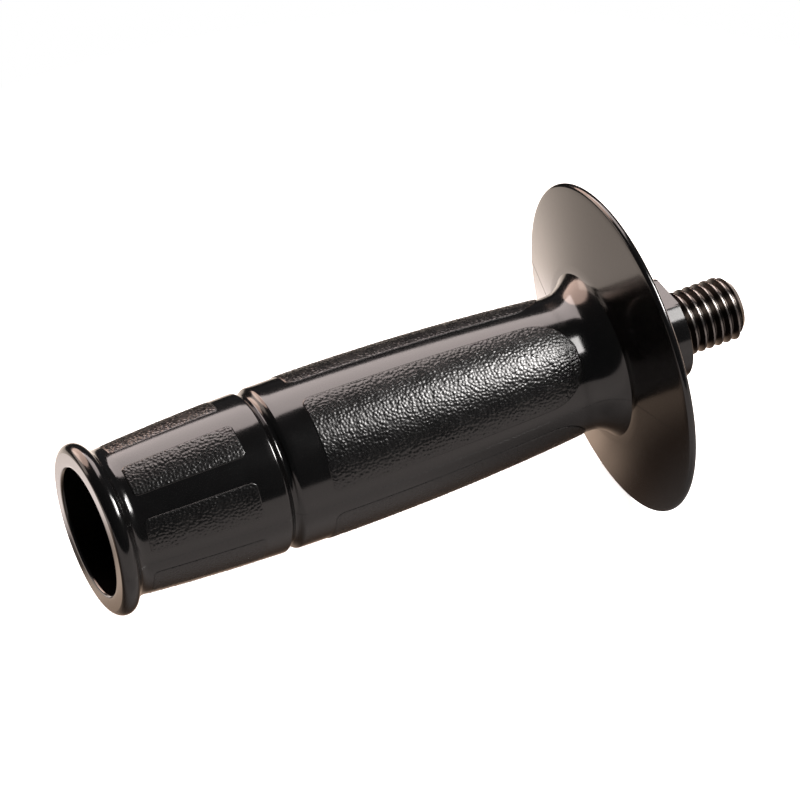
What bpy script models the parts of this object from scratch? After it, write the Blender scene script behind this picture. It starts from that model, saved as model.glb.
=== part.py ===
"""Side handle for a hand-held power tool: a hollow moulded grip with a guard, and a threaded steel stud.

Frame: the handle's axis lies along X. The origin is the centre of the shoulder, the flat end of the
boss that seats against the tool. +X points out of the handle along the stud, and Z is square to the
boss's two spanner flats. Stations are measured along the axis from the mouth of the grip.
"""

import math

import bmesh
import bpy
from mathutils import Matrix

# Grip
mouth_to_shoulder = 0.13365     # whole moulded length
grip_root_radius = 0.01561      # beside the lip
belly_station = 0.0520          # where the grip is thickest
belly_swell = 0.00184           # how much thicker than at the root
neck_station = 0.1086           # where the grip is thinnest, and the flare starts
neck_narrowing = 0.00091        # how much thinner than at the root
belly_radius = grip_root_radius + belly_swell
neck_radius = grip_root_radius - neck_narrowing

# Lip: a round bead about the mouth, cut flat at the front
lip_crest_station = 0.0020
lip_bead_radius = 0.0021
lip_height = 0.00282            # above the grip's root
lip_hollow = 0.0030             # radius of the hollow between the bead and the grip
lip_outer_radius = grip_root_radius + lip_height

# Groove between the short and the long part of the grip
groove_station = 0.0392
groove_width = 0.0036
groove_depth = 0.00125

# Raised pads, whose leather grain is too fine for the solid
pad_height = 0.00014
pad_corner = 0.0021
pad_sink = 0.0005               # depth that a pad reaches into the grip, so that the two join
short_pads = 8
lip_to_short_pads = 0.0056
short_pads_to_groove = 0.0064
short_pad_start = lip_crest_station + lip_to_short_pads
short_pad_end = groove_station - short_pads_to_groove
short_pad_half_angle = math.radians(13.8)
long_pads = 4
groove_to_long_pads = 0.0082
long_pads_to_neck = 0.0013
long_pad_start = groove_station + groove_to_long_pads
long_pad_end = neck_station - long_pads_to_neck
long_pad_half_angle = math.radians(36.0)
long_pad_end_flat = 0.0003      # the end by the guard is almost a half circle
long_pad_end_corner = long_pad_half_angle * neck_radius - long_pad_end_flat

# Guard: a shallow dish that leans towards the tool
guard_radius = 0.03623
guard_rim_thickness = 0.00166
guard_root_thickness = 0.0030
guard_lean = math.radians(13.0)
guard_rim_station = 0.11995     # middle of the rim
flare_radius = 0.0084
flare_angle = math.radians(52.0)

# Boss behind the guard
boss_radius = 0.0108
boss_flats = 0.0190             # across the two spanner flats
boss_chamfer = 0.0002
boss_fillet = 0.0015

# Blind bore of the grip
bore_wall = 0.00196             # between the bore and the grip's root
mouth_rounding = 0.00065        # of the bore's edge
bore_draft = math.radians(0.5)
bore_depth = 0.0980
bore_floor_fillet = 0.0030
bore_radius = grip_root_radius - bore_wall

# Stud: M14, moulded in
stud_major_radius = 0.0070
stud_reach = 0.0152             # beyond the shoulder
stud_chamfer = 0.0018
stud_shank = 0.0160             # moulded-in length up to the anchor head
anchor_flats = 0.0190
anchor_length = 0.0080
fit_clearance = 0.0003          # between the steel and the moulding

# Facets
around = 72                     # round the grip
stud_around = 48
bead_steps = 10
hollow_steps = 4
fillet_steps = 3
rim_steps = 6
flare_steps = 5
groove_steps = 8
short_part_steps = 5
long_part_steps = 12
pad_corner_steps = 3
short_pad_columns = 5
long_pad_columns = 12
short_pad_rows = 3
long_pad_rows = 6

cut_overrun = 0.0010            # how far a cutter runs past what it cuts
smooth_angle = math.radians(35.0)


def clear_scene():
    for item in list(bpy.data.objects):
        bpy.data.objects.remove(item, do_unlink=True)


def material(name, colour, roughness, metallic):
    made = bpy.data.materials.new(name)
    made.use_nodes = True
    shader = made.node_tree.nodes["Principled BSDF"]
    shader.inputs["Base Color"].default_value = (*colour, 1.0)
    shader.inputs["Roughness"].default_value = roughness
    shader.inputs["Metallic"].default_value = metallic
    return made


def between(start, end, steps):
    """The values after start, evenly up to end."""
    return [start + (end - start) * step / steps for step in range(1, steps + 1)]


def arc(centre, radius, start, end, steps):
    """Points of an arc in the (station, radius) plane, with angles from the station axis."""
    return [(centre[0] + radius * math.cos(angle), centre[1] + radius * math.sin(angle))
            for angle in [start] + between(start, end, steps)]


def hollow_centre():
    """Centre of the hollow that touches the lip's bead and runs out into the grip."""
    height = grip_root_radius + lip_hollow
    rise = height - (lip_outer_radius - lip_bead_radius)
    reach = math.sqrt((lip_bead_radius + lip_hollow) ** 2 - rise ** 2)
    return lip_crest_station + reach, height


def grip_radius(station):
    """The grip swells as one parabola from the lip to the belly and another from there to the neck."""
    if station < belly_station:
        share = (belly_station - station) / (belly_station - hollow_centre()[0])
        return belly_radius - (belly_radius - grip_root_radius) * share ** 2
    share = (station - belly_station) / (neck_station - belly_station)
    return belly_radius - (belly_radius - neck_radius) * share ** 2


def groove_drop(station):
    """Depth of the rounded groove below the grip's surface."""
    offset = (station - groove_station) / groove_width
    if abs(offset) >= 0.5:
        return 0.0
    return groove_depth * 0.5 * (1 + math.cos(2 * math.pi * offset))


def bore_outline():
    """From the middle of the bore's floor out to the mouth's rounded inner edge."""
    floor_radius = bore_radius - bore_depth * math.tan(bore_draft)
    centre = (bore_depth - bore_floor_fillet, floor_radius - bore_floor_fillet)
    corner = arc(centre, bore_floor_fillet, 0.0, math.pi / 2, fillet_steps)
    edge = (mouth_rounding, bore_radius + mouth_rounding)
    lead_in = arc(edge, mouth_rounding, 1.5 * math.pi, math.pi, fillet_steps)
    return [(bore_depth, 0.0)] + corner + lead_in


def lip_outline():
    """From the outer edge of the flat front ring over the bead and down the hollow to the grip."""
    bead = (lip_crest_station, lip_outer_radius - lip_bead_radius)
    hollow = hollow_centre()
    front = math.pi - math.acos(lip_crest_station / lip_bead_radius)
    touch = math.atan2(hollow[1] - bead[1], hollow[0] - bead[0])
    over = arc(bead, lip_bead_radius, front, touch, bead_steps)
    down = arc(hollow, lip_hollow, touch + math.pi, 1.5 * math.pi, hollow_steps)
    return over + down[1:]


def grip_outline():
    """From the end of the lip's hollow to the neck, with the groove."""
    start = groove_station - groove_width / 2
    end = groove_station + groove_width / 2
    stations = between(hollow_centre()[0], start, short_part_steps)
    stations += between(start, end, groove_steps)
    stations += between(end, neck_station, long_part_steps)
    return [(station, grip_radius(station) - groove_drop(station)) for station in stations]


def guard_outline():
    """The flare, the leaning front face, the round rim, the back face and its fillet to the boss."""
    flare = arc((neck_station, neck_radius + flare_radius), flare_radius,
                -math.pi / 2, -math.pi / 2 + flare_angle, flare_steps)
    rim = guard_rim_thickness / 2
    rim_round = arc((guard_rim_station, guard_radius - rim), rim,
                    math.pi - guard_lean, -guard_lean, rim_steps)
    # Where the leaning front face reaches the flare's outer radius
    front = rim_round[0]
    flare_top = flare[-1][1]
    seat = front[0] - (front[1] - flare_top) * math.tan(guard_lean)
    back = seat + guard_root_thickness / math.cos(guard_lean)
    foot = arc((back + boss_fillet, boss_radius + boss_fillet), boss_fillet,
               math.pi, 1.5 * math.pi, fillet_steps)
    return flare[1:-1] + [(seat, flare_top)] + rim_round + foot


def boss_outline():
    """The round boss up to the middle of the shoulder."""
    return [(mouth_to_shoulder - boss_chamfer, boss_radius),
            (mouth_to_shoulder, boss_radius - boss_chamfer),
            (mouth_to_shoulder, 0.0)]


def from_shoulder(outline):
    """Stations from the mouth become X from the shoulder."""
    return [(station - mouth_to_shoulder, radius) for station, radius in outline]


def new_object(name, work):
    """An object made of a bmesh, with its faces turned outwards."""
    bmesh.ops.recalc_face_normals(work, faces=work.faces)
    mesh = bpy.data.meshes.new(name)
    work.to_mesh(mesh)
    work.free()
    made = bpy.data.objects.new(name, mesh)
    bpy.context.collection.objects.link(made)
    return made


def join_rings(work, near, far):
    """Quads between two rings of as many points."""
    for step in range(len(near)):
        after = (step + 1) % len(near)
        work.faces.new((near[step], far[step], far[after], near[after]))


def turned(name, outline, segments):
    """A closed body turned about the X axis. The outline starts and ends on the axis."""
    work = bmesh.new()
    rings = []
    for station, radius in outline[1:-1]:
        ring = []
        for step in range(segments):
            angle = 2 * math.pi * (step + 0.5) / segments
            ring.append(work.verts.new((station, radius * math.cos(angle), radius * math.sin(angle))))
        rings.append(ring)
    for near, far in zip(rings, rings[1:]):
        join_rings(work, near, far)
    for ring, station in ((rings[0], outline[0][0]), (rings[-1], outline[-1][0])):
        middle = work.verts.new((station, 0.0, 0.0))
        for step in range(segments):
            work.faces.new((ring[step], ring[(step + 1) % segments], middle))
    return new_object(name, work)


def hexagon(name, flats, start, end):
    """A hexagonal prism along X, with two of its flats square to Z."""
    work = bmesh.new()
    corner = flats / math.sqrt(3)
    bmesh.ops.create_cone(work, cap_ends=True, segments=6, radius1=corner, radius2=corner,
                          depth=end - start)
    turn = Matrix.Rotation(math.pi / 2, 4, "Y")
    slide = Matrix.Translation(((start + end) / 2, 0.0, 0.0))
    bmesh.ops.transform(work, matrix=slide @ turn, verts=work.verts)
    return new_object(name, work)


def box(name, low, high):
    work = bmesh.new()
    bmesh.ops.create_cube(work, size=1.0)
    for corner in work.verts:
        corner.co = [low[k] if corner.co[k] < 0 else high[k] for k in range(3)]
    return new_object(name, work)


def pad_stations(start, end, end_corner, rows):
    """Stations of a pad's sections: close together in the round corners, even between them."""
    turns = [0.0] + between(0.0, math.pi / 2, pad_corner_steps)
    first = [start + pad_corner * (1 - math.cos(turn)) for turn in turns]
    last = [end - end_corner * (1 - math.cos(turn)) for turn in reversed(turns)]
    return first + between(first[-1], last[0], rows)[:-1] + last


def pad_reach(station, start, end, half_angle, end_corner):
    """Half the width of a pad along the skin: its angle times the radius, less the round corners."""
    near = max(0.0, pad_corner - (station - start))
    far = max(0.0, end_corner - (end - station))
    lost = pad_corner - math.sqrt(pad_corner ** 2 - near ** 2)
    lost += end_corner - math.sqrt(max(0.0, end_corner ** 2 - far ** 2))
    return half_angle * grip_radius(station) - lost


def pad(name, middle, start, end, half_angle, end_corner, rows, columns):
    """A raised pad: a loft of sections that lie a pad's height over the grip and sink into it."""
    work = bmesh.new()
    sections = []
    for station in pad_stations(start, end, end_corner, rows):
        skin = grip_radius(station)
        reach = pad_reach(station, start, end, half_angle, end_corner) / skin
        turns = [middle - reach] + between(middle - reach, middle + reach, columns)
        points = [(skin + pad_height, turn) for turn in turns]
        points += [(skin - pad_sink, turn) for turn in reversed(turns)]
        x = station - mouth_to_shoulder
        sections.append([work.verts.new((x, radius * math.cos(turn), radius * math.sin(turn)))
                         for radius, turn in points])
    for near, far in zip(sections, sections[1:]):
        join_rings(work, near, far)
    for section in (sections[0], sections[-1]):
        for step in range(columns):
            under = len(section) - 1 - step
            work.faces.new((section[step], section[step + 1], section[under - 1], section[under]))
    return new_object(name, work)


def boolean(target, cutter, operation):
    cutter.hide_render = True
    cutter.display_type = "WIRE"
    step = target.modifiers.new(cutter.name, "BOOLEAN")
    step.operation = operation
    step.object = cutter
    step.solver = "EXACT"


def smooth(target):
    target.data.shade_smooth()
    target.data.set_sharp_from_angle(angle=smooth_angle)


def add_pads(body):
    """Short pads between the lip and the groove, and long pads between the groove and the guard."""
    for number in range(short_pads):
        middle = 2 * math.pi * (number + 0.5) / short_pads
        made = pad("short_pad_%d" % number, middle, short_pad_start, short_pad_end,
                   short_pad_half_angle, pad_corner, short_pad_rows, short_pad_columns)
        boolean(body, made, "UNION")
    for number in range(long_pads):
        middle = 2 * math.pi * (number + 0.5) / long_pads
        made = pad("long_pad_%d" % number, middle, long_pad_start, long_pad_end,
                   long_pad_half_angle, long_pad_end_corner, long_pad_rows, long_pad_columns)
        boolean(body, made, "UNION")


def cut_pocket(body):
    """The pocket that the moulding forms round the stud's shank and its anchor head."""
    radius = stud_major_radius + fit_clearance
    floor = -stud_shank - fit_clearance
    outline = [(floor, 0.0), (floor, radius), (cut_overrun, radius), (cut_overrun, 0.0)]
    boolean(body, turned("shank_pocket", outline, stud_around), "DIFFERENCE")
    head = hexagon("anchor_pocket", anchor_flats + 2 * fit_clearance,
                   -stud_shank - anchor_length - fit_clearance, -stud_shank + fit_clearance)
    boolean(body, head, "DIFFERENCE")


def cut_flats(body):
    """The two spanner flats on the boss."""
    start = guard_outline()[-1][0] - mouth_to_shoulder
    clear = boss_radius + cut_overrun
    top = box("flat_cut_top", (start, -clear, boss_flats / 2), (cut_overrun, clear, clear))
    bottom = box("flat_cut_bottom", (start, -clear, -clear), (cut_overrun, clear, -boss_flats / 2))
    boolean(body, top, "DIFFERENCE")
    boolean(body, bottom, "DIFFERENCE")


def handle_body():
    """The moulding: bore, lip, grip with groove and pads, guard and boss."""
    outline = bore_outline() + lip_outline() + grip_outline() + guard_outline() + boss_outline()
    body = turned("handle_body", from_shoulder(outline), around)
    add_pads(body)
    cut_pocket(body)
    cut_flats(body)
    body.data.materials.append(material("black_moulding", (0.012, 0.012, 0.013), 0.22, 0.0))
    smooth(body)
    return body


def threaded_stud():
    """The stud's blank, of the thread's outer diameter, with its moulded-in hexagonal anchor head."""
    inside = -stud_shank - anchor_length / 2
    blank = [(inside, 0.0),
             (inside, stud_major_radius),
             (stud_reach - stud_chamfer, stud_major_radius),
             (stud_reach, stud_major_radius - stud_chamfer),
             (stud_reach, 0.0)]
    stud = turned("threaded_stud", blank, stud_around)
    head = hexagon("anchor_head", anchor_flats, -stud_shank - anchor_length, -stud_shank)
    boolean(stud, head, "UNION")
    stud.data.materials.append(material("black_steel", (0.035, 0.034, 0.033), 0.32, 1.0))
    smooth(stud)
    return stud


def main():
    clear_scene()
    handle_body()
    threaded_stud()


main()
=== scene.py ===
import math
from collections import namedtuple

import bpy
import numpy as np
from bpy.props import FloatProperty, FloatVectorProperty, IntProperty, PointerProperty
from bpy.types import Operator, Panel, PropertyGroup
from mathutils import Matrix, Vector


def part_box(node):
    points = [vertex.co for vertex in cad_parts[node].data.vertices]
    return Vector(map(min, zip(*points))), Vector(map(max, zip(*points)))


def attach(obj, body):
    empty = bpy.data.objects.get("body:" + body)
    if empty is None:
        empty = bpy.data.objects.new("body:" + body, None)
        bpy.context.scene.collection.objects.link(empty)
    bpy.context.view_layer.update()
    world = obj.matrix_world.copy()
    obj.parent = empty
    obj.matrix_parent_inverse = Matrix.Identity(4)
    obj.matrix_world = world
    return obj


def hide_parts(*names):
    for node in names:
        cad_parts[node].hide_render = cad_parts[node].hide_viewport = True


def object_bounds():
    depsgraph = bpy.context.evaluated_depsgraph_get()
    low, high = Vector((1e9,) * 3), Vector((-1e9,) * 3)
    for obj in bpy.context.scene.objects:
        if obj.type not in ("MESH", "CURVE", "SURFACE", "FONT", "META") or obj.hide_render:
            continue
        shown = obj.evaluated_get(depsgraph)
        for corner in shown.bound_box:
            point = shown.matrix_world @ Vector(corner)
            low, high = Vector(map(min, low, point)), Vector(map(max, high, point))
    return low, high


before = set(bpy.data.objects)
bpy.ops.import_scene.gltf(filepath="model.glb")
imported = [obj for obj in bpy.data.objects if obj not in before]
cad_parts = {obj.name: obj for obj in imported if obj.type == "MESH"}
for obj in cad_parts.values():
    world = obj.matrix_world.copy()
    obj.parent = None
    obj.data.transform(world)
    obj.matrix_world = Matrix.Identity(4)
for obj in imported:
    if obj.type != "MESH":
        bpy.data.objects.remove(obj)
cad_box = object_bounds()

bl_info = {
    "name": "Side Handle",
    "version": (1, 0, 0),
    "blender": (4, 5, 0),
    "location": "View3D > Sidebar > Side Handle",
    "description": "Models a moulded side handle with grained pads, a guard and a threaded stud",
    "category": "Add Mesh",
}

# The handle's axis is X, its shoulder is at X = 0 and its mouth is at the low end
MOUTH = float(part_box("handle_body")[0][0])
STUD_END = float(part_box("threaded_stud")[1][0])
STUD_START = float(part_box("threaded_stud")[0][0])
FULL_TURN = 2 * math.pi


# Sizes and finishes

def length(name, description, default):
    """A size in metres."""
    return FloatProperty(name=name, description=description, default=default, unit="LENGTH",
                         subtype="DISTANCE", precision=5)


def angle(name, description, degrees):
    """An angle, with its default in degrees."""
    return FloatProperty(name=name, description=description, default=math.radians(degrees),
                         subtype="ANGLE")


def share(name, description, default):
    """A number from 0 to 1."""
    return FloatProperty(name=name, description=description, default=default, min=0.0, max=1.0)


def count(name, description, default):
    """A whole number from 1 up."""
    return IntProperty(name=name, description=description, default=default, min=1)


def colour(name, description, default):
    """A linear colour."""
    return FloatVectorProperty(name=name, description=description, default=default, size=3,
                               subtype="COLOR", min=0.0, max=1.0)


class MouldingSizes(PropertyGroup):
    """The turned form of the moulding; stations run from the mouth along the axis"""
    belly_station: length("Belly station", "Where the grip is thickest", 0.0520)
    belly_radius: length("Belly radius", "Radius of the grip at its thickest", 0.01745)
    root_radius: length("Root radius", "Radius of the grip beside the lip", 0.01561)
    neck_station: length("Neck station", "Where the flare starts", 0.1086)
    neck_radius: length("Neck radius", "Radius of the grip at its thinnest", 0.01470)
    lip_station: length("Lip station", "Where the lip is highest", 0.0020)
    lip_radius: length("Lip radius", "Outer radius of the lip", 0.01843)
    bead_radius: length("Bead radius", "Section radius of the lip's bead", 0.0021)
    crease_radius: length("Crease radius", "Rounding between the flat front ring and the bead", 0.00025)
    hollow_radius: length("Hollow radius", "Section radius of the hollow behind the bead", 0.0030)
    ring_radius: length("Ring radius", "Inner radius of the lip's flat front ring", 0.0143)
    bore_radius: length("Bore radius", "Radius of the bore at the mouth", 0.01365)
    bore_draft: angle("Bore draft", "Taper of the bore on each side", 0.5)
    bore_depth: length("Bore depth", "Depth of the blind bore", 0.0980)
    bore_fillet: length("Bore fillet", "Rounding of the bore's floor", 0.0030)
    groove_station: length("Groove station", "Middle of the groove", 0.0392)
    groove_width: length("Groove width", "Width of the groove with its round shoulders", 0.0036)
    groove_depth: length("Groove depth", "Depth of the groove", 0.00125)
    neck_blend: length("Neck blend", "How far the flare blends into the grip on each side", 0.0022)
    flare_radius: length("Flare radius", "Section radius of the flare", 0.0084)
    flare_angle: angle("Flare angle", "How far the flare turns", 52)
    guard_radius: length("Guard radius", "Outer radius of the guard", 0.0362)
    guard_rim: length("Guard rim", "Thickness of the guard's round rim", 0.00166)
    guard_root: length("Guard root", "Thickness of the guard at the boss", 0.0030)
    guard_lean: angle("Guard lean", "Lean of the guard towards the tool", 13)
    rim_station: length("Rim station", "Middle of the guard's rim", 0.11995)
    boss_radius: length("Boss radius", "Radius of the round boss", 0.0108)
    boss_flats: length("Boss flats", "Width across the two spanner flats", 0.0190)
    boss_chamfer: length("Boss chamfer", "Chamfer of the boss's end", 0.0002)
    boss_fillet: length("Boss fillet", "Rounding between the boss and the guard", 0.0015)
    around: count("Facets around", "Facets of the moulding round its axis", 240)


class PadSizes(PropertyGroup):
    """The raised grained pads on the grip"""
    height: length("Height", "How far the pads stand proud", 0.00015)
    sunk: length("Sunk", "How far below the skin the pads' rounded edge ends", 0.00012)
    root: length("Root", "How far below the skin the pads' underside lies", 0.0005)
    edge: length("Edge", "Width of the pads' rounded edge", 0.00045)
    corner: length("Corner", "Corner radius of the long pads", 0.0021)
    short_corner: length("Short corner", "Corner radius of the short pads", 0.0014)
    short_start: length("Short start", "Station where the short pads start", 0.0074)
    short_end: length("Short end", "Station where the short pads end", 0.0322)
    short_half: angle("Short half angle", "Half the angle that a short pad takes", 13.8)
    short_number: count("Short pads", "Number of pads on the short part", 8)
    long_start: length("Long start", "Station where the long pads start", 0.0474)
    long_end: length("Long end", "Station where the long pads end", 0.1073)
    long_half: angle("Long half angle", "Half the angle that a long pad takes", 36)
    end_round: share("Round end", "Share of a half circle at the long pads' end by the neck", 0.97)
    long_number: count("Long pads", "Number of pads on the long part", 4)
    grain_size: length("Grain size", "Width of one pebble of the grain", 0.00074)
    grain_height: length("Grain height", "Height of the grain", 0.000145)
    mesh_step: length("Mesh step", "Distance between the points of the pads' meshes", 0.00018)


class StudSizes(PropertyGroup):
    """The threaded stud"""
    major: length("Major radius", "Radius over the thread's crests", 0.0070)
    pitch: length("Pitch", "Distance from crest to crest", 0.0020)
    depth: length("Depth", "Depth of the thread", 0.00118)
    chamfer: length("Chamfer", "Length of the end's chamfer", 0.0018)
    thread_start: length("Thread start", "How far inside the shoulder the thread starts", 0.0009)
    run_in: length("Run-in", "Length over which the thread reaches its full depth", 0.0006)
    crest_flat: share("Crest flat", "Share of the pitch that a crest stays flat", 0.18)
    root_flat: share("Root flat", "Share of the pitch that a root stays flat", 0.14)
    rings: count("Thread rings", "Rings of the mesh along the thread", 322)
    shank: length("Shank", "Moulded-in length up to the anchor head", 0.0160)
    flats: length("Head flats", "Width across the anchor head's flats", 0.0190)
    clearance: length("Clearance", "Gap between the steel and the moulding", 0.0003)
    around: count("Facets around", "Facets of the stud round its axis", 96)


class Finishes(PropertyGroup):
    """Colours and roughness of the moulding, its pads and the steel"""
    black: colour("Black", "Colour of the moulding", (0.0018, 0.0017, 0.0017))
    black_gloss: share("Moulding roughness", "Roughness of the smooth moulding", 0.13)
    pad_gloss: share("Pad roughness", "Roughness of the grained pads", 0.26)
    steel: colour("Steel", "Colour of the blackened steel", (0.050, 0.046, 0.043))
    # The crests' paler steel is partly wear and partly a painted highlight along the thread's crests
    crest_wear_and_sheen: colour("Crest wear and sheen", "Colour of the thread's crests, their wear and painted highlight", (0.20, 0.185, 0.175))
    steel_gloss: share("Steel roughness", "Roughness of the steel", 0.24)


class StudioValues(PropertyGroup):
    """The camera's view of the handle"""
    lens_pixels: FloatProperty(name="Focal length", description="Focal length in pixels", default=5300)
    distance: length("Distance", "From the camera to the mouth, along its view", 1.07527)
    axis_tilt: angle("Axis tilt", "How far the handle's axis turns away from the camera", 17.869)
    axis_rise: angle("Axis rise", "How far the handle's axis rises to the right in the picture", 19.41)
    front_turn: angle("Front turn", "Height of the side that faces the camera, above -Y", 41)


# Outlines

def arc(centre, radius, start, end, steps):
    """Points centre + radius (cos a, sin a), with the angle a going evenly from start to end."""
    turn = np.linspace(start, end, steps)
    return np.column_stack([centre[0] + radius * np.cos(turn), centre[1] + radius * np.sin(turn)])


def line(start, end, steps):
    """Points spaced evenly from start up to end, both included."""
    return np.linspace(start, end, steps)


def hollow_centre(sizes):
    """Centre of the hollow behind the lip.

    It lies a hollow radius above the grip. The hollow touches the bead, so the two centres are the
    sum of both radii apart.
    """
    height = sizes.root_radius + sizes.hollow_radius
    rise = height - (sizes.lip_radius - sizes.bead_radius)
    reach = math.sqrt((sizes.bead_radius + sizes.hollow_radius) ** 2 - rise ** 2)
    return sizes.lip_station + reach, height


def grip_radius(sizes, station):
    """Belly radius less a square law on each side, down to the root at the lip and to the neck."""
    near = (sizes.belly_station - station) / (sizes.belly_station - hollow_centre(sizes)[0])
    far = (station - sizes.belly_station) / (sizes.neck_station - sizes.belly_station)
    before = (sizes.belly_radius - sizes.root_radius) * near ** 2
    after = (sizes.belly_radius - sizes.neck_radius) * far ** 2
    return sizes.belly_radius - np.where(station < sizes.belly_station, before, after)


def groove_drop(sizes, station):
    """One wave of a cosine, from zero at the shoulders to the groove's depth in the middle."""
    offset = np.clip((station - sizes.groove_station) / sizes.groove_width, -0.5, 0.5)
    return sizes.groove_depth * 0.5 * (1 + np.cos(FULL_TURN * offset))


def bore_outline(sizes):
    """From the middle of the bore's floor, round its corner, along the wall and round the lip's edge."""
    floor = sizes.bore_radius - sizes.bore_depth * math.tan(sizes.bore_draft)
    centre = (sizes.bore_depth - sizes.bore_fillet, floor - sizes.bore_fillet)
    corner = arc(centre, sizes.bore_fillet, 0.0, math.pi / 2, steps=8)
    edge = sizes.ring_radius - sizes.bore_radius
    wall = line(corner[-1], (edge, sizes.bore_radius), steps=24)
    lead_in = arc((edge, sizes.ring_radius), edge, 1.5 * math.pi, math.pi, steps=9)
    return [np.array([[sizes.bore_depth, 0.0]]), corner, wall[1:], lead_in[1:]]


def lip_outline(sizes):
    """Flat front ring, its small outer rounding, the bead and the hollow that leads to the grip.

    The rounding touches the ring from behind and the bead from inside, so its centre is the
    difference of both radii away from the bead's centre.
    """
    bead = (sizes.lip_station, sizes.lip_radius - sizes.bead_radius)
    crease = sizes.crease_radius
    inset = sizes.lip_station - crease
    climb = math.sqrt((sizes.bead_radius - crease) ** 2 - inset ** 2)
    front = math.atan2(climb, -inset)
    hollow = hollow_centre(sizes)
    meet = math.atan2(hollow[1] - bead[1], hollow[0] - bead[0])
    edge = bead[1] + climb
    ring = line((0.0, sizes.ring_radius), (0.0, edge), steps=6)
    rounding = arc((crease, edge), crease, math.pi, front, steps=5)
    over = arc(bead, sizes.bead_radius, front, meet, steps=26)
    dip = arc(hollow, sizes.hollow_radius, meet + math.pi, 1.5 * math.pi, steps=16)
    return [ring[1:], rounding[1:], over[1:], dip[1:]]


def blend(start, start_slope, end, end_slope, steps):
    """Points of the parabola that leaves the start and reaches the end with the given slopes."""
    meet = (end[1] - start[1] + start_slope * start[0] - end_slope * end[0]) / (start_slope - end_slope)
    bend = np.array([meet, start[1] + start_slope * (meet - start[0])])
    part = line(0.0, 1.0, steps)[:, None]
    return (1 - part) ** 2 * start + 2 * part * (1 - part) * bend + part ** 2 * end


def grip_outline(sizes):
    """The swelling grip with its groove, from the lip's hollow to where it blends into the flare."""
    half = sizes.groove_width / 2
    before = line(hollow_centre(sizes)[0], sizes.groove_station - half, steps=24)[1:]
    within = line(sizes.groove_station - half, sizes.groove_station + half, steps=24)[1:]
    after = line(sizes.groove_station + half, sizes.neck_station - sizes.neck_blend, steps=44)[1:]
    station = np.concatenate([before, within, after])
    return [np.column_stack([station, grip_radius(sizes, station) - groove_drop(sizes, station)])]


def guard_outline(sizes):
    """Blended neck, flare, leaning front face, round rim, back face and the rounding at the boss."""
    turned_by = sizes.neck_blend / sizes.flare_radius
    flare = arc((sizes.neck_station, sizes.neck_radius + sizes.flare_radius), sizes.flare_radius,
                -math.pi / 2 + turned_by, -math.pi / 2 + sizes.flare_angle, steps=16)
    station = sizes.neck_station - sizes.neck_blend
    slope = 2 * (sizes.neck_radius - sizes.belly_radius) / (sizes.neck_station - sizes.belly_station)
    neck = blend(np.array([station, float(grip_radius(sizes, station))]), slope, flare[0],
                 math.tan(turned_by), steps=14)
    rim = sizes.guard_rim / 2
    rim_centre = (sizes.rim_station, sizes.guard_radius - rim)
    rim_round = arc(rim_centre, rim, math.pi - sizes.guard_lean, -sizes.guard_lean, steps=16)
    top = flare[-1, 1]
    seat = rim_round[0, 0] - (rim_round[0, 1] - top) * math.tan(sizes.guard_lean)
    face = line((seat, top), rim_round[0], steps=18)
    back = (seat + sizes.guard_root / math.cos(sizes.guard_lean), sizes.boss_radius + sizes.boss_fillet)
    rear = line(rim_round[-1], back, steps=16)
    centre = (back[0] + sizes.boss_fillet, back[1])
    foot = arc(centre, sizes.boss_fillet, math.pi, 1.5 * math.pi, steps=8)
    return [neck[1:-1], flare, face[1:-1], rim_round, rear[1:], foot[1:]]


def boss_outline(sizes, stud, start):
    """The boss from a hair past its fillet, where the flats cut in, to the shoulder and the pocket."""
    full = -MOUTH
    hair = 0.00001
    bevel = full - sizes.boss_chamfer
    pocket = stud.major + stud.clearance
    side = line((start + hair, sizes.boss_radius), (bevel, sizes.boss_radius), steps=8)
    end = line((full, sizes.boss_radius - sizes.boss_chamfer), (full, pocket), steps=4)
    return [side, end]


def pocket_outline(sizes, stud):
    """The hollow that the moulding forms round the shank and the anchor head."""
    full = -MOUTH
    shank = stud.major + stud.clearance
    head = stud.flats / math.sqrt(3) + stud.clearance
    step = full - stud.shank
    floor = full + STUD_START - stud.clearance
    return [np.array([[step, shank], [step, head], [floor, head], [floor, 0.0]])]


# Meshes

def new_piece(name, points, faces, coat, sharp):
    """A mesh object at the origin, shaded smooth up to the sharp angle in degrees."""
    mesh = bpy.data.meshes.new(name)
    mesh.from_pydata(points.reshape(-1, 3), [], faces)
    mesh.update()
    mesh.shade_smooth()
    mesh.set_sharp_from_angle(angle=math.radians(sharp))
    mesh.materials.append(coat)
    piece = bpy.data.objects.new(name, mesh)
    bpy.context.collection.objects.link(piece)
    return piece


def ring_faces(rows, columns, first=0):
    """Quads of a grid whose columns close round, with point row * columns + column after first."""
    row, column = np.meshgrid(np.arange(rows - 1), np.arange(columns), indexing="ij")
    after = (column + 1) % columns
    low = first + row * columns
    high = low + columns
    return np.stack([low + column, low + after, high + after, high + column], axis=-1).reshape(-1, 4)


def turned_points(x, radius, turn):
    """Point (x, r cos t, r sin t) of each ring x, r and each turn t; r may change with t."""
    x = np.broadcast_to(x[:, None], radius.shape)
    return np.stack([x, radius * np.cos(turn), radius * np.sin(turn)], axis=-1)


def turned_solid(name, x, radius, turn, coat, sharp):
    """A closed body of rings; the first and the last ring are each closed by a point on the axis."""
    points = turned_points(x, radius, turn).reshape(-1, 3)
    rows, columns = radius.shape
    ends = np.array([[x[0], 0.0, 0.0], [x[-1], 0.0, 0.0]])
    points = np.concatenate([points, ends])
    faces = ring_faces(rows, columns).tolist()
    step = np.arange(columns)
    after = (step + 1) % columns
    start = rows * columns
    last = (rows - 1) * columns
    faces += np.column_stack([np.full(columns, start), after, step]).tolist()
    faces += np.column_stack([np.full(columns, start + 1), last + step, last + after]).tolist()
    return new_piece(name, points, faces, coat, sharp)


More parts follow.
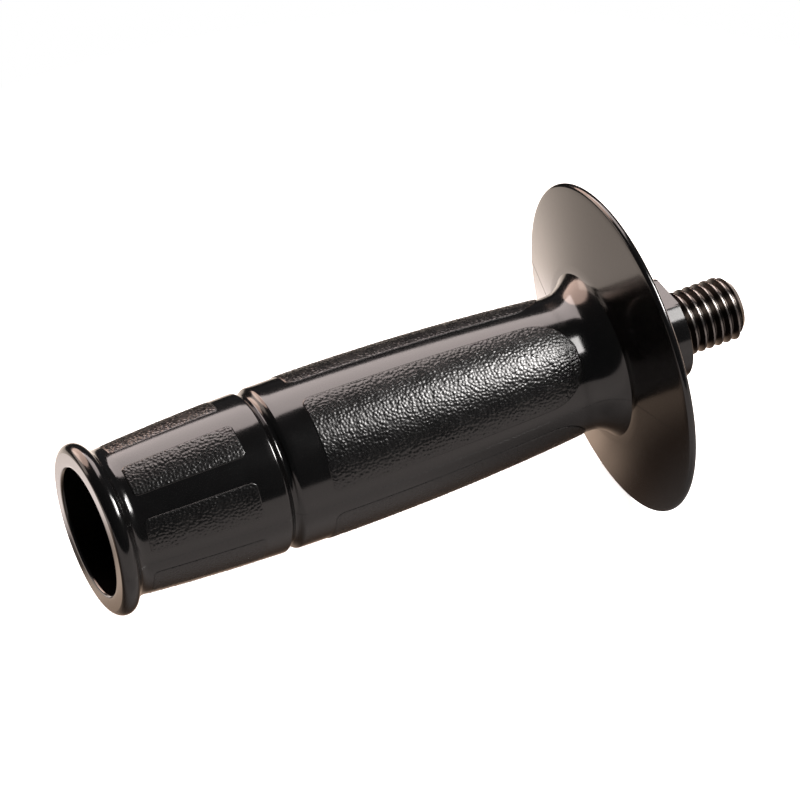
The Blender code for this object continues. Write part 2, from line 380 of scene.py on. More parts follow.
def flip_if_inward(piece):
    """Turns all the faces round if the closed mesh's signed volume is negative."""
    mesh = piece.data
    mesh.calc_loop_triangles()
    corners = np.empty(len(mesh.loop_triangles) * 3, dtype=np.int32)
    mesh.loop_triangles.foreach_get("vertices", corners)
    places = np.empty(len(mesh.vertices) * 3)
    mesh.vertices.foreach_get("co", places)
    triangle = places.reshape(-1, 3)[corners.reshape(-1, 3)]
    volume = np.einsum("ij,ij->i", triangle[:, 0], np.cross(triangle[:, 1], triangle[:, 2])).sum()
    if volume < 0:
        mesh.flip_normals()


def moulding_turns(sizes):
    """Turns from +Y, spaced evenly between the edges of the two flats so that each edge is on one."""
    half = math.acos(sizes.boss_flats / 2 / sizes.boss_radius)
    edges = [half - math.pi / 2, math.pi / 2 - half, math.pi / 2 + half, 1.5 * math.pi - half]
    sides = [edges[1] - edges[0], edges[2] - edges[1]] * 2
    spans = []
    for start, side in zip(edges, sides):
        steps = round(sizes.around * side / FULL_TURN)
        spans.append(start + side * np.arange(steps) / steps)
    return np.concatenate(spans)


def build_moulding(sizes, stud, coat):
    """Radius of station and turn: the turned outline, cut by the two flats where the boss is."""
    guard = guard_outline(sizes)
    foot_end = guard[-1][-1, 0]
    body = bore_outline(sizes) + lip_outline(sizes) + grip_outline(sizes) + guard
    plain = np.concatenate(body)
    boss = np.concatenate(boss_outline(sizes, stud, foot_end))
    pocket = np.concatenate(pocket_outline(sizes, stud))
    outline = np.concatenate([plain, boss, pocket])
    turn = moulding_turns(sizes)
    radius = np.repeat(outline[:, 1:], len(turn), axis=1)
    on_boss = slice(len(plain), len(plain) + len(boss))
    # Away from the flats the sine only has to stay clear of zero
    least_sine = 0.1
    flat = sizes.boss_flats / 2 / np.maximum(np.abs(np.sin(turn)), least_sine)
    radius[on_boss] = np.minimum(radius[on_boss], flat)
    # The outline's two end points lie on the axis, where the solid gets its closing points
    radius = radius[1:-1]
    x = outline[1:-1, 0] + MOUTH
    piece = turned_solid("grip_moulding", x, radius, turn, coat, sharp=28)
    flip_if_inward(piece)
    return piece


# Grain

def scatter(column, row, salt):
    """A repeatable value from 0 to 1 for each cell: the fraction of a large multiple of a sine."""
    column_step = 127.1
    row_step = 311.7
    salt_step = 74.7
    spread = 43758.5453
    value = np.sin(column * column_step + row * row_step + salt * salt_step) * spread
    return value - np.floor(value)


def pebbles(along, across, size, salt):
    """One jittered point in each cell of a grid, seen from each place.

    Gives the distances to the nearest point and the next, in cells, and the nearest point's tone.
    """
    u = along / size
    v = across / size
    nearest = np.full(u.shape, np.inf)
    second = np.full(u.shape, np.inf)
    tone = np.zeros(u.shape)
    for step_u in (-1, 0, 1):
        for step_v in (-1, 0, 1):
            column = np.floor(u) + step_u
            row = np.floor(v) + step_v
            away_u = column + scatter(column, row, salt) - u
            away_v = row + scatter(column, row, salt + 1) - v
            away = np.hypot(away_u, away_v)
            closer = away < nearest
            second = np.where(closer, nearest, np.minimum(second, away))
            tone = np.where(closer, scatter(column, row, salt + 2), tone)
            nearest = np.where(closer, away, nearest)
    return nearest, second, tone


def grain(along, across, size):
    """Leather grain from 0 to 1: domed pebbles parted by creases, with a finer, flatter set over them.

    A pebble rises with the distance from its crease, falls with the square of the distance from its
    own point, and has a height of its own between the lowest and 1.
    """
    crease_width = 0.5
    dome_area = 0.8
    lowest = 0.5
    fine_size = 0.52
    fine_lowest = 0.4
    fine_share = 0.28
    nearest, second, tone = pebbles(along, across, size, salt=3)
    crease = np.clip((second - nearest) / crease_width, 0.0, 1.0)
    dome = np.clip(1 - nearest * nearest / dome_area, 0.0, 1.0)
    coarse = crease * (2 - crease) * dome * (lowest + (1 - lowest) * tone)
    nearest, second, tone = pebbles(along, across, size * fine_size, salt=11)
    crease = np.clip((second - nearest) / crease_width, 0.0, 1.0)
    fine = crease * (fine_lowest + (1 - fine_lowest) * tone)
    return (1 - fine_share) * coarse + fine_share * fine


# Pads

# One kind of pad: its first and last station, half its angle, its corner radii and how many go round
PadKind = namedtuple("PadKind", "start end half corner end_corner number")


def pad_half_width(sizes, kind, station):
    """Half the pad's width along the skin: the half angle times the radius, less round corners."""
    wide = kind.half * grip_radius(sizes, station)
    left = np.clip(kind.corner - (station - kind.start), 0.0, kind.corner)
    right = np.clip(kind.end_corner - (kind.end - station), 0.0, kind.end_corner)
    lost_left = kind.corner - np.sqrt(kind.corner ** 2 - left ** 2)
    lost_right = kind.end_corner - np.sqrt(kind.end_corner ** 2 - right ** 2)
    return wide - lost_left - lost_right


def pad_shell(sizes, pads, kind, place):
    """One pad as a closed loft: each section goes over the grained top and back underneath.

    A point of the top is (station, turn = middle + a / r) with a from -w to w and w the half width.
    Its radius is the grip's plus the pad's height, which falls on a parabola to below the skin over
    the width of the rounded edge, plus the grain, which ends halfway over that edge. The rounded edge
    has rows and columns of its own, and each pad has its own stretch of the grain.
    """
    grain_level = 0.45
    grain_apart = 0.05
    rows = round((kind.end - kind.start) / pads.mesh_step)
    columns = round(2 * kind.half * sizes.belly_radius / pads.mesh_step)
    middle = math.pi / kind.number + FULL_TURN * place / kind.number
    rounding = pads.edge * line(0.0, 1.0, steps=6)[:-1]
    station = np.concatenate([kind.start + rounding,
                              line(kind.start + pads.edge, kind.end - pads.edge, rows),
                              kind.end - rounding[::-1]])
    skin = grip_radius(sizes, station)[:, None]
    wide = pad_half_width(sizes, kind, station)[:, None]
    border = np.minimum(rounding[None, :], wide * rounding[None, :] / (2 * pads.edge))
    inner = (wide - np.minimum(pads.edge, wide / 2)) * line(-1.0, 1.0, columns)[None, :]
    across = np.concatenate([border - wide, inner, (wide - border)[:, ::-1]], axis=1)
    edge_side = wide - np.abs(across)
    edge_end = np.minimum(station - kind.start, kind.end - station)[:, None]
    inside = np.clip(np.minimum(edge_side, edge_end) / pads.edge, 0.0, 1.0)
    lift = 1 - (1 - inside) ** 2
    grow = np.clip((inside - 0.5) * 2, 0.0, 1.0)
    along = np.broadcast_to(station[:, None], across.shape)
    relief = grain(along, across + place * grain_apart, pads.grain_size) - grain_level
    top = skin - pads.sunk + (pads.height + pads.sunk) * lift + pads.grain_height * grow * relief
    under_side = line(1.0, -1.0, steps=9)[None, 1:-1]
    under_turn = middle + under_side * wide / skin
    under = np.broadcast_to(skin - pads.root, under_turn.shape)
    radius = np.concatenate([top, under], axis=1)
    turn = np.concatenate([middle + across / skin, under_turn], axis=1)
    return turned_points(station + MOUTH, radius, turn)


def tube_faces(rows, ring, first):
    """Faces of a tube of rings with a flat face over each end."""
    sides = ring_faces(rows, ring, first).tolist()
    start = (first + np.arange(ring)).tolist()
    end = (first + (rows - 1) * ring + np.arange(ring)[::-1]).tolist()
    return sides + [start, end]


def build_pads(name, sizes, pads, kind, places, coat):
    """The pads of one kind that stand at the given places, counted round the grip."""
    shells = []
    faces = []
    first = 0
    for place in places:
        shell = pad_shell(sizes, pads, kind, place)
        rows, ring = shell.shape[:2]
        shells.append(shell.reshape(-1, 3))
        faces += tube_faces(rows, ring, first)
        first += rows * ring
    piece = new_piece(name, np.concatenate(shells), faces, coat, sharp=60)
    flip_if_inward(piece)
    return piece


# Stud and parting line

def build_stud(stud, coat):
    """Radius of x and turn t: hexagonal head, plain shank, then a V thread in the phase x/p - t/2pi."""
    # The rings on both sides of the head's step, and of the thread's start, are this far apart
    hair = 0.000001
    plain_end = 0.0001
    turn = FULL_TURN * np.arange(stud.around) / stud.around
    head = line(STUD_START, -stud.shank, steps=3)
    shank = line(hair - stud.shank, -stud.thread_start - plain_end, steps=4)
    thread = line(-stud.thread_start, STUD_END, stud.rings)
    sixth = math.pi / 3
    corner = np.abs((turn + sixth / 2) % sixth - sixth / 2)
    hexagon = stud.flats / 2 / np.cos(corner)
    x = thread[:, None]
    phase = (x / stud.pitch - turn / FULL_TURN) % 1.0
    slope = np.abs(phase - 0.5) * 2
    crest = np.clip((slope - stud.root_flat) / (1 - stud.root_flat - stud.crest_flat), 0.0, 1.0)
    run_in = np.clip((x + stud.thread_start) / stud.run_in, 0.0, 1.0)
    threaded = stud.major - stud.depth * (1 - crest) * run_in
    cone = STUD_END - x + stud.major - stud.chamfer
    radius = np.concatenate([np.tile(hexagon, (len(head), 1)),
                             np.full((len(shank), stud.around), stud.major),
                             np.minimum(threaded, cone)])
    rings = np.concatenate([head, shank, thread])
    piece = turned_solid("stud_thread", rings, radius, turn, coat, sharp=30)
    flip_if_inward(piece)
    return piece


def build_parting_line(sizes, coat):
    """A fine raised line down both sides: an oval section, half sunk, carried along the outline."""
    half_width = 0.00007
    rise = 0.000035
    sides = 8
    path = np.concatenate(lip_outline(sizes)[2:] + grip_outline(sizes) + guard_outline(sizes)[:4])
    step = np.gradient(path, axis=0)
    step /= np.linalg.norm(step, axis=1)[:, None]
    outward = np.column_stack([-step[:, 1], step[:, 0]])
    turn = FULL_TURN * np.arange(sides) / sides
    level = rise * np.sin(turn)[None, :]
    wide = half_width * np.cos(turn)[None, :]
    sets = []
    faces = []
    for number, side in enumerate((1.0, -1.0)):
        x = path[:, :1] + outward[:, :1] * level + MOUTH
        y = side * (path[:, 1:] + outward[:, 1:] * level)
        z = np.broadcast_to(wide, x.shape)
        sets.append(np.stack([x, y, z], axis=-1).reshape(-1, 3))
        faces += tube_faces(len(path), sides, number * len(path) * sides)
    piece = new_piece("parting_line", np.concatenate(sets), faces, coat, sharp=60)
    flip_if_inward(piece)
    return piece


# Materials

def add(nodes, kind, **values):
    """A node with its plain properties set."""
    node = nodes.new(kind)
    for key, value in values.items():
        setattr(node, key, value)
    return node


def math_node(tree, operation, first, second=None, clamp=False):
    """A Math node fed by sockets or numbers; returns its output."""
    node = add(tree.nodes, "ShaderNodeMath", operation=operation, use_clamp=clamp)
    for place, value in enumerate((first, second)):
        if value is None:
            continue
        if isinstance(value, (int, float)):
            node.inputs[place].default_value = value
        else:
            tree.links.new(value, node.inputs[place])
    return node.outputs[0]


def above(tree, value, level, gain):
    """How far a value lies above a level, times a gain, kept from 0 to 1."""
    over = math_node(tree, "SUBTRACT", value, level, clamp=True)
    return math_node(tree, "MULTIPLY", over, gain, clamp=True)


def blend_value(tree, factor, low, high):
    """low + (high - low) * factor."""
    return math_node(tree, "ADD", math_node(tree, "MULTIPLY", factor, high - low), low)


def noise(tree, place, scale, detail):
    """Soft noise on a place; returns its value."""
    node = add(tree.nodes, "ShaderNodeTexNoise")
    node.inputs["Scale"].default_value = scale
    node.inputs["Detail"].default_value = detail
    tree.links.new(place, node.inputs["Vector"])
    return node.outputs["Fac"]


def stretched(tree, place, scale, rotation=(0.0, 0.0, 0.0)):
    """A place turned and scaled by its own number on each axis, for noise drawn out into lines."""
    node = add(tree.nodes, "ShaderNodeMapping")
    node.inputs["Scale"].default_value = scale
    node.inputs["Rotation"].default_value = rotation
    tree.links.new(place, node.inputs["Vector"])
    return node.outputs["Vector"]


def handling_group():
    """Marks of handling: a soft mottle, and patches of fine scratches, nearly along the axis.

    Both go from 0 to 1.
    """
    group = bpy.data.node_groups.new("handling_marks", "ShaderNodeTree")
    group.interface.new_socket("Vector", in_out="INPUT", socket_type="NodeSocketVector")
    group.interface.new_socket("Mottle", in_out="OUTPUT", socket_type="NodeSocketFloat")
    group.interface.new_socket("Scratches", in_out="OUTPUT", socket_type="NodeSocketFloat")
    start = group.nodes.new("NodeGroupInput")
    end = group.nodes.new("NodeGroupOutput")
    place = start.outputs["Vector"]
    mottle = noise(group, place, scale=220.0, detail=5.0)
    drawn_out = stretched(group, place, (90.0, 1500.0, 1500.0), rotation=(0.3, 0.05, 0.12))
    lines = above(group, noise(group, drawn_out, scale=1.0, detail=2.0), level=0.66, gain=6.0)
    where = above(group, noise(group, place, scale=60.0, detail=2.0), level=0.5, gain=5.0)
    group.links.new(mottle, end.inputs["Mottle"])
    group.links.new(math_node(group, "MULTIPLY", lines, where), end.inputs["Scratches"])
    return group


def shared_group():
    """The handling marks, made once."""
    return bpy.data.node_groups.get("handling_marks") or handling_group()


def scaled(tone, factor):
    """A colour times a factor, kept to 1 at most."""
    return [min(1.0, part * factor) for part in tone]


def blend_colour(tree, factor, low, high):
    """A colour between low and high."""
    node = add(tree.nodes, "ShaderNodeMix", data_type="RGBA")
    node.inputs["A"].default_value = (*low, 1.0)
    node.inputs["B"].default_value = (*high, 1.0)
    tree.links.new(factor, node.inputs["Factor"])
    return node.outputs["Result"]


def add_bump(tree, height, distance, shader):
    """Feeds a height through a Bump node into the shader's normal."""
    bump = add(tree.nodes, "ShaderNodeBump")
    bump.inputs["Distance"].default_value = distance
    bump.inputs["Strength"].default_value = 1.0
    tree.links.new(height, bump.inputs["Height"])
    tree.links.new(bump.outputs["Normal"], shader.inputs["Normal"])


def plastic(name, tone, gloss, bump_scale, bump_height):
    """Glossy black moulding: mottled gloss, faint scratches and a fine ripple in the surface."""
    darkest = 0.8
    palest = 1.7
    glossiest = 0.75
    dullest = 1.3
    scratch_roughness = 0.18
    scratch_depth = 0.5
    coat = bpy.data.materials.new(name)
    coat.use_nodes = True
    tree = coat.node_tree
    shader = tree.nodes["Principled BSDF"]
    shader.inputs["IOR"].default_value = 1.55
    place = add(tree.nodes, "ShaderNodeTexCoord").outputs["Object"]
    marks = add(tree.nodes, "ShaderNodeGroup", node_tree=shared_group())
    tree.links.new(place, marks.inputs["Vector"])
    mottle = marks.outputs["Mottle"]
    scratches = marks.outputs["Scratches"]
    surface = blend_colour(tree, mottle, scaled(tone, darkest), scaled(tone, palest))
    tree.links.new(surface, shader.inputs["Base Color"])
    rough = blend_value(tree, mottle, gloss * glossiest, gloss * dullest)
    scuffed = math_node(tree, "MULTIPLY", scratches, scratch_roughness)
    tree.links.new(math_node(tree, "ADD", rough, scuffed, clamp=True), shader.inputs["Roughness"])
    ripple = noise(tree, place, bump_scale, detail=3.0)
    height = math_node(tree, "SUBTRACT", ripple, math_node(tree, "MULTIPLY", scratches, scratch_depth))
    add_bump(tree, height, bump_height, shader)
    return coat


def blackened_steel(name, tone, wear_and_sheen, major, gloss):
    """Oiled black oxide: browner and darker in patches, paler steel on the thread's crests, partly wear
    and partly a painted highlight along them.
    """
    brown_tint = (0.62, 0.52, 0.46)
    palest = 1.35
    glossiest = 0.7
    dullest = 1.5
    crest_band_depth = 0.00015
    crest_band_gain = 6500.0
    lathe_depth = 0.000006
    coat = bpy.data.materials.new(name)
    coat.use_nodes = True
    tree = coat.node_tree
    shader = tree.nodes["Principled BSDF"]
    shader.inputs["Metallic"].default_value = 1.0
    place = add(tree.nodes, "ShaderNodeTexCoord").outputs["Object"]
    marks = add(tree.nodes, "ShaderNodeGroup", node_tree=shared_group())
    tree.links.new(place, marks.inputs["Vector"])
    patches = noise(tree, place, scale=480.0, detail=4.0)
    brown = [part * tint for part, tint in zip(tone, brown_tint)]
    oxide = blend_colour(tree, patches, brown, scaled(tone, palest))
    # The crests, which carry the wear and the painted highlight, are the places far enough from the axis
    across = add(tree.nodes, "ShaderNodeVectorMath", operation="MULTIPLY")
    across.inputs[1].default_value = (0.0, 1.0, 1.0)
    tree.links.new(place, across.inputs[0])
    radius = add(tree.nodes, "ShaderNodeVectorMath", operation="LENGTH")
    tree.links.new(across.outputs["Vector"], radius.inputs[0])
    crests = above(tree, radius.outputs["Value"], level=major - crest_band_depth, gain=crest_band_gain)
    uneven = blend_value(tree, patches, low=0.35, high=1.5)
    surface = add(tree.nodes, "ShaderNodeMix", data_type="RGBA")
    surface.inputs["B"].default_value = (*wear_and_sheen, 1.0)
    tree.links.new(oxide, surface.inputs["A"])
    tree.links.new(math_node(tree, "MULTIPLY", crests, uneven, clamp=True), surface.inputs["Factor"])
    tree.links.new(surface.outputs["Result"], shader.inputs["Base Color"])
    rough = blend_value(tree, marks.outputs["Mottle"], gloss * glossiest, gloss * dullest)
    tree.links.new(rough, shader.inputs["Roughness"])
    lathe_lines = noise(tree, stretched(tree, place, (9000.0, 300.0, 300.0)), scale=1.0, detail=2.0)
    add_bump(tree, lathe_lines, lathe_depth, shader)
    return coat


# Stage

def toward(lift, axial):
    """Direction from the handle: lift is turned from -Y towards +Z, axial leans towards +X."""
    return Vector((math.sin(axial), -math.cos(axial) * math.cos(lift), math.cos(axial) * math.sin(lift)))


def lamp(name, target, direction, distance, wide, high, radiance, tint, shape="RECTANGLE"):
    """A soft lamp that looks at the target from a direction; wide lies along the handle's axis.

    Its power is its radiance times pi times its area.
    """
    data = bpy.data.lights.new(name, "AREA")
    data.shape = shape
    data.size = wide
    data.size_y = high
    area = wide * high * (1.0 if shape == "RECTANGLE" else math.pi / 4)
    data.energy = radiance * math.pi * area
    data.color = tint
    lit = bpy.data.objects.new(name, data)
    back = direction.normalized()
    side = (Vector((1.0, 0.0, 0.0)) - back * back.x).normalized()
    up = back.cross(side)
    turn = Matrix((side, up, back)).transposed().to_4x4()
    lit.matrix_world = Matrix.Translation(target + back * distance) @ turn
    bpy.context.collection.objects.link(lit)


def studio_lamps(target, neck, front):
    """The lamps; front is how high the side that faces the camera is turned above -Y."""
    warm_white = (1.0, 0.97, 0.95)
    aside = Vector((0.69, 0.0, 0.0))
    behind = toward(front + math.radians(87.3), math.radians(-39))
    lamp("back_softbox", aside, behind, distance=0.80, wide=0.70, high=0.395, radiance=5.5,
         tint=(1.0, 0.87, 0.84))
    before = toward(front + math.radians(23), math.radians(33))
    lamp("front_softbox", target, before, distance=0.80, wide=0.26, high=0.35, radiance=15.0,
         tint=warm_white)
    core = toward(front + math.radians(23), math.radians(43))
    lamp("front_core", target, core, distance=0.80, wide=0.18, high=0.22, radiance=54.0,
         tint=warm_white)
    left = Vector((-0.30, 0.36, 0.09))
    lamp("left_card", target, left, distance=0.48, wide=0.30, high=0.18, radiance=2.2,
         tint=(1.0, 0.84, 0.74))
    far_back = toward(math.radians(153), math.radians(-17))
    lamp("round_lamp", neck, far_back, distance=1.6, wide=1.30, high=1.35, radiance=5.6,
         tint=(1.0, 0.71, 0.59), shape="ELLIPSE")


def ramp(tree, value, stops):
    """A colour ramp over a value, with (position, colour) stops."""
    node = add(tree.nodes, "ShaderNodeValToRGB")
    node.color_ramp.interpolation = "EASE"
    elements = node.color_ramp.elements
    while len(elements) < len(stops):
        elements.new(0.5)
    for element, (position, tint) in zip(elements, stops):
        element.position = position
        element.color = (*tint, 1.0)
    tree.links.new(value, node.inputs["Fac"])
    return node.outputs["Color"]


def beyond(tree, place, middle, inner, outer):
    """0 within the inner radius of the middle, 1 beyond the outer one, and a straight rise between."""
    away = add(tree.nodes, "ShaderNodeVectorMath", operation="DISTANCE")
    away.inputs[1].default_value = middle
    tree.links.new(place, away.inputs[0])
    return above(tree, away.outputs["Value"], level=inner, gain=1 / (outer - inner))


# The table's glow in gloss is painted light, a painted reflection of a lit table top, from TABLE_REACH
# before the axis at 0 to as far behind it at 1
TABLE_REACH = 0.25
TABLE_STOPS = [
    (0.32, (0.35, 0.31, 0.295)),
    (0.43, (0.265, 0.235, 0.225)),
    (0.488, (0.055, 0.038, 0.029)),
    (0.515, (0.20, 0.145, 0.11)),
    (0.53, (0.31, 0.225, 0.17)),
    (0.56, (0.68, 0.53, 0.43)),
    (0.60, (1.0, 0.87, 0.82)),
    (0.68, (0.66, 0.56, 0.49)),
    (0.82, (0.50, 0.42, 0.36)),
    (0.88, (0.01, 0.01, 0.01)),
]


def mixed(tree, factor, first, second):
    """A mix of two shaders: the first at 0, the second at 1."""
    node = add(tree.nodes, "ShaderNodeMixShader")
    tree.links.new(factor, node.inputs["Fac"])
    tree.links.new(first.outputs[0], node.inputs[1])
    tree.links.new(second.outputs[0], node.inputs[2])
    return node


def floor_material(centre):
    """White floor that keeps the shadow, fades to plain white, and shows in gloss a painted reflection
    of a lit table top.
    """
    paint = (0.93, 0.93, 0.93, 1.0)
    shadow_lift = 0.75
    coat = bpy.data.materials.new("studio_floor")
    coat.use_nodes = True
    tree = coat.node_tree
    tree.nodes.clear()
    out = add(tree.nodes, "ShaderNodeOutputMaterial")
    lit = add(tree.nodes, "ShaderNodeBsdfDiffuse")
    lit.inputs["Color"].default_value = paint
    place = add(tree.nodes, "ShaderNodeTexCoord").outputs["Object"]
    split = add(tree.nodes, "ShaderNodeSeparateXYZ")
    tree.links.new(place, split.inputs["Vector"])
    ray = add(tree.nodes, "ShaderNodeLightPath")
    # The camera sees plain white far from the handle, and a faint soft shadow beside it
    lift = add(tree.nodes, "ShaderNodeEmission")
    lift.inputs["Strength"].default_value = shadow_lift
    lifted = add(tree.nodes, "ShaderNodeAddShader")
    tree.links.new(lit.outputs[0], lifted.inputs[0])
    tree.links.new(lift.outputs[0], lifted.inputs[1])
    white = add(tree.nodes, "ShaderNodeEmission")
    white.inputs["Strength"].default_value = 1.0
    near = mixed(tree, beyond(tree, place, centre, inner=0.08, outer=0.205), lifted, white)
    seen = mixed(tree, ray.outputs["Is Camera Ray"], lit, near)
    # In gloss the painted table is dim before the handle, dark under it in painted shadow, bright behind
    # it, and ends further back
    depth = math_node(tree, "MULTIPLY", split.outputs["Y"], 0.5 / TABLE_REACH)
    shine = ramp(tree, math_node(tree, "ADD", depth, 0.5, clamp=True), TABLE_STOPS)
    # Painted shadows make it dimmer in two round places, one that the guard shows and one that the lip
    # shows
    guard_shade = beyond(tree, place, (-0.02, -0.03, centre[2]), inner=0.0, outer=0.04)
    lip_shade = beyond(tree, place, (-0.141, 0.037, centre[2]), inner=0.005, outer=0.016)
    strength = math_node(tree, "MULTIPLY", blend_value(tree, guard_shade, low=1.0, high=2.6),
                         blend_value(tree, lip_shade, low=0.1, high=1.0))
    # The floor glows for glossy rays though it is no lamp: painted reflection and painted shadow
    glow = add(tree.nodes, "ShaderNodeEmission")
    tree.links.new(strength, glow.inputs["Strength"])
    tree.links.new(shine, glow.inputs["Color"])
    mirrored = mixed(tree, ray.outputs["Is Glossy Ray"], seen, glow)
    tree.links.new(mirrored.outputs[0], out.inputs["Surface"])
    return coat


def studio_floor(low, centre):
    """A wide flat floor at the height low."""
    half = 6.0
    mesh = bpy.data.meshes.new("studio_floor")
    corners = [(-half, -half, low), (half, -half, low), (half, half, low), (-half, half, low)]
    mesh.from_pydata(corners, [], [(0, 1, 2, 3)])
    mesh.materials.append(floor_material(centre))
    floor = bpy.data.objects.new("studio_floor", mesh)
    bpy.context.scene.collection.objects.link(floor)


def studio_world():
    """Pale for the camera where the floor ends, and a dim even room for all other rays."""
    room_tint = (0.92, 0.95, 1.0, 1.0)
    room_strength = 0.06
    pale_tint = (0.8, 0.8, 0.8, 1.0)
    world = bpy.data.worlds.new("studio_room")
    world.use_nodes = True
    tree = world.node_tree
    tree.nodes.clear()
    out = add(tree.nodes, "ShaderNodeOutputWorld")
    room = add(tree.nodes, "ShaderNodeBackground")
    room.inputs["Color"].default_value = room_tint
    room.inputs["Strength"].default_value = room_strength
    pale = add(tree.nodes, "ShaderNodeBackground")
    pale.inputs["Color"].default_value = pale_tint
    ray = add(tree.nodes, "ShaderNodeLightPath")
    mix = mixed(tree, ray.outputs["Is Camera Ray"], room, pale)
    tree.links.new(mix.outputs[0], out.inputs["Surface"])
    bpy.context.scene.world = world


def place_camera(values):
    """Sets the camera so that the handle's axis lies in the picture as the fitted view has it.

    The axis rises to the right in the picture. From the picture's middle, the mouth's ring lies
    mouth_along pixels along the axis and mouth_below pixels square to it.
    """
    image = 800
    mouth_along = -334.52
    mouth_below = 21.30
    mouth_station = 0.00075
    tilt = values.axis_tilt
    rise = values.axis_rise
    turn = values.front_turn
    # The axis, the side that faces the camera and the lower side, in the world
    world = Matrix(((1.0, 0.0, 0.0),
                    (0.0, -math.cos(turn), math.sin(turn)),
                    (0.0, -math.sin(turn), -math.cos(turn)))).transposed()
    along = Vector((math.cos(rise), math.sin(rise), 0.0))
    below = Vector((math.sin(rise), -math.cos(rise), 0.0))
    away = Vector((0.0, 0.0, -1.0))
    level = (away + below * (mouth_below / values.lens_pixels)).normalized()
    axis = along * math.cos(tilt) + level * math.sin(tilt)
    front = along * math.sin(tilt) - level * math.cos(tilt)
    lower = axis.cross(front)
    seen = Matrix((axis, front, lower)).transposed()
    turn_camera = world @ seen.inverted()
    pixel = values.distance / values.lens_pixels
    mouth_seen = along * (mouth_along * pixel) + below * (mouth_below * pixel) + away * values.distance
    data = bpy.data.cameras.new("studio_camera")
    data.sensor_width = 36.0
    data.lens = values.lens_pixels / image * data.sensor_width
    data.clip_start = 0.05
    data.clip_end = 20.0
    camera = bpy.data.objects.new("studio_camera", data)
    matrix = turn_camera.to_4x4()
    matrix.translation = Vector((MOUTH + mouth_station, 0.0, 0.0)) - turn_camera @ mouth_seen
    camera.matrix_world = matrix
    bpy.context.collection.objects.link(camera)
    bpy.context.scene.camera = camera


# Operators

class HANDLE_OT_moulding(Operator):
    """Build the turned moulding: bore, lip, grip, groove, flare, guard and boss"""
    bl_idname = "handle.moulding"
    bl_label = "Moulding"

    def execute(self, context):
        scene = context.scene
        tone = scene.handle_finishes
        coat = plastic("black_moulding", tone.black, tone.black_gloss, bump_scale=900.0,
                       bump_height=0.000004)
        piece = build_moulding(scene.handle_moulding, scene.handle_stud, coat)
        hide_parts("handle_body")
        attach(piece, "root")
        return {"FINISHED"}


class HANDLE_OT_pads(Operator):
    """Build the raised pads with their leather grain"""
    bl_idname = "handle.pads"
    bl_label = "Grained pads"

    def execute(self, context):
        scene = context.scene
        sizes = scene.handle_moulding
        pads = scene.handle_pads
        tone = scene.handle_finishes
        coat = plastic("grained_moulding", tone.black, tone.pad_gloss, bump_scale=5200.0,
                       bump_height=0.000012)
        short = PadKind(pads.short_start, pads.short_end, pads.short_half, pads.short_corner,
                        pads.short_corner, pads.short_number)
        round_end = pads.end_round * pads.long_half * sizes.neck_radius
        long = PadKind(pads.long_start, pads.long_end, pads.long_half, pads.corner, round_end,
                       pads.long_number)
        half = pads.long_number // 2
        for name, kind, places in (("short_pads", short, range(pads.short_number)),
                                   ("long_pads_upper", long, range(half)),
                                   ("long_pads_lower", long, range(half, pads.long_number))):
            piece = build_pads(name, sizes, pads, kind, places, coat)
            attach(piece, "root")
        return {"FINISHED"}


class HANDLE_OT_parting_line(Operator):
    """Build the fine raised line where the two halves of the mould met"""
    bl_idname = "handle.parting_line"
    bl_label = "Parting line"

    def execute(self, context):
        scene = context.scene
        piece = build_parting_line(scene.handle_moulding, bpy.data.materials["black_moulding"])
        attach(piece, "root")
        return {"FINISHED"}


class HANDLE_OT_stud(Operator):
    """Build the stud with its thread, chamfered end and anchor head"""
    bl_idname = "handle.stud"
    bl_label = "Threaded stud"

    def execute(self, context):
        scene = context.scene
        tone = scene.handle_finishes
        stud = scene.handle_stud
        coat = blackened_steel("black_steel", tone.steel, tone.crest_wear_and_sheen, stud.major, tone.steel_gloss)
        piece = build_stud(stud, coat)
        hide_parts("threaded_stud")
        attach(piece, "root")
        return {"FINISHED"}


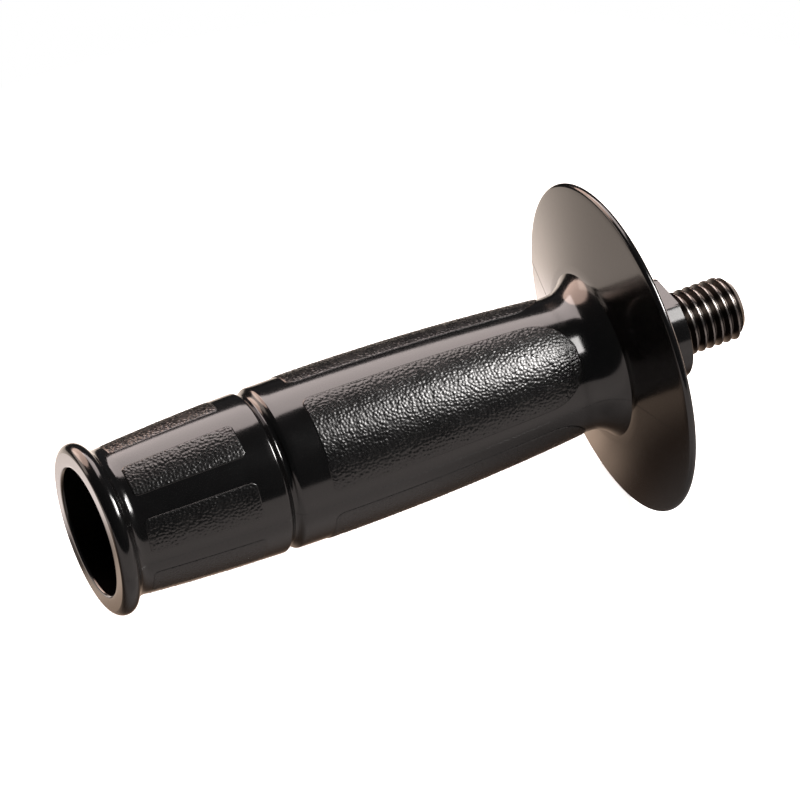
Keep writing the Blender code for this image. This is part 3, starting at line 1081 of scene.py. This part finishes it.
class HANDLE_OT_studio(Operator):
    """Set up the floor, the lamps, the room and the camera"""
    bl_idname = "handle.studio"
    bl_label = "Studio"

    def execute(self, context):
        scene = context.scene
        values = scene.handle_studio
        scene.view_settings.view_transform = "Standard"
        low = cad_box[0][2]
        middle = Vector((MOUTH / 2, 0.0, 0.0))
        neck = Vector((MOUTH + scene.handle_moulding.neck_station, 0.0, 0.0))
        studio_floor(low, (middle.x, 0.0, low))
        studio_lamps(middle, neck, values.front_turn)
        studio_world()
        place_camera(values)
        return {"FINISHED"}


class HANDLE_PT_panel(Panel):
    """Lists the operators and the values that they use"""
    bl_idname = "HANDLE_PT_panel"
    bl_label = "Side Handle"
    bl_space_type = "VIEW_3D"
    bl_region_type = "UI"
    bl_category = "Side Handle"

    def draw(self, context):
        for operator in OPERATORS:
            self.layout.operator(operator.bl_idname)
        for name in GROUPS:
            box = self.layout.box()
            values = getattr(context.scene, name)
            for key in values.__annotations__:
                box.prop(values, key)


GROUPS = {
    "handle_moulding": MouldingSizes,
    "handle_pads": PadSizes,
    "handle_stud": StudSizes,
    "handle_finishes": Finishes,
    "handle_studio": StudioValues,
}
OPERATORS = (
    HANDLE_OT_moulding,
    HANDLE_OT_pads,
    HANDLE_OT_parting_line,
    HANDLE_OT_stud,
    HANDLE_OT_studio,
)


def register():
    """Registers the classes and gives the scene its groups of values."""
    for group in GROUPS.values():
        bpy.utils.register_class(group)
    for operator in OPERATORS:
        bpy.utils.register_class(operator)
    bpy.utils.register_class(HANDLE_PT_panel)
    for name, group in GROUPS.items():
        setattr(bpy.types.Scene, name, PointerProperty(type=group))


def unregister():
    """Takes back what register did."""
    for name in GROUPS:
        delattr(bpy.types.Scene, name)
    bpy.utils.unregister_class(HANDLE_PT_panel)
    for operator in reversed(OPERATORS):
        bpy.utils.unregister_class(operator)
    for group in GROUPS.values():
        bpy.utils.unregister_class(group)


def main():
    """Builds the handle and its studio."""
    register()
    bpy.ops.handle.moulding()
    bpy.ops.handle.pads()
    bpy.ops.handle.parting_line()
    bpy.ops.handle.stud()
    bpy.ops.handle.studio()


if __name__ == "__main__":
    main()
